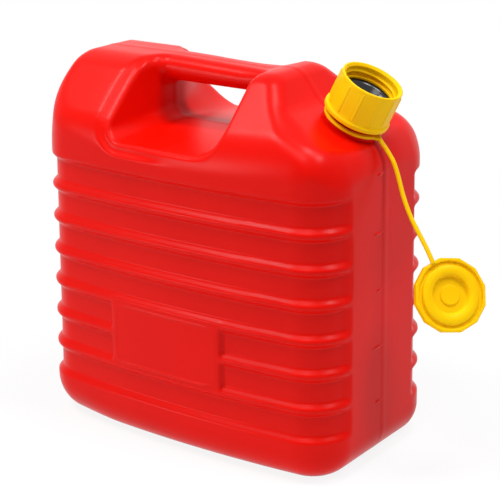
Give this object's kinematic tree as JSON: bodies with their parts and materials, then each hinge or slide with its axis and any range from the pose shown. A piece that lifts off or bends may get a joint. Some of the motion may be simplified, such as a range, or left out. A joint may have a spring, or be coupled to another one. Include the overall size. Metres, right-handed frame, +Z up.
{
  "type": "fuel can",
  "caption": "Ribbed red plastic fuel can with a grip bar over a hand opening, a tilted neck with a yellow screw collar, a pouring spout stored inside, and a stopper on a strap.",
  "frame": {"origin": "middle of the base, on the surface that the can stands on", "axes": "+Z up, +X along the width towards the neck, -Y towards the broad face with the label panel"},
  "size_m": [0.3597, 0.173, 0.3095],
  "materials": {
    "can_plastic": "red blow-moulded polyethylene, satin to semi-gloss, fine moulded grain",
    "closure_plastic": "yellow injection-moulded polyethylene, semi-gloss",
    "spout_plastic": "black flexible polyethylene, satin",
    "seal_rubber": "black nitrile rubber, matte"
  },
  "bodies": {
    "can": {"can_body": "can_plastic"},
    "spout": {"spout": "spout_plastic", "neck_gasket": "seal_rubber"},
    "collar": {"collar": "closure_plastic"},
    "tether_ring": {"tether_ring": "closure_plastic"},
    "stopper": {"tether_strap": "closure_plastic", "stopper": "closure_plastic", "stopper_gasket": "seal_rubber"}
  },
  "joints": [
    {"name": "spout_lift", "type": "slide", "parent": "can", "child": "spout", "axis": [0.4617, 0, 0.887], "range_m": [0, 0.0101]},
    {"name": "collar_turn", "type": "hinge", "parent": "spout", "child": "collar", "pos_m": [0.1104, 0, 0.2633], "axis": [0.4617, 0, 0.887], "range_deg": [0, 720]},
    {"name": "ring_swivel", "type": "hinge", "parent": "can", "child": "tether_ring", "pos_m": [0.1104, 0, 0.2633], "axis": [0.4617, 0, 0.887], "range_deg": [-28, 28]},
    {"name": "strap_swing", "type": "hinge", "parent": "tether_ring", "child": "stopper", "pos_m": [0.1365, 0, 0.2538], "axis": [0, -1, 0], "range_deg": [0, 85]}
  ],
  "couplings": [
    {"joint": "spout_lift", "follows": "collar_turn", "m_per_rad": 0.00079577}
  ]
}
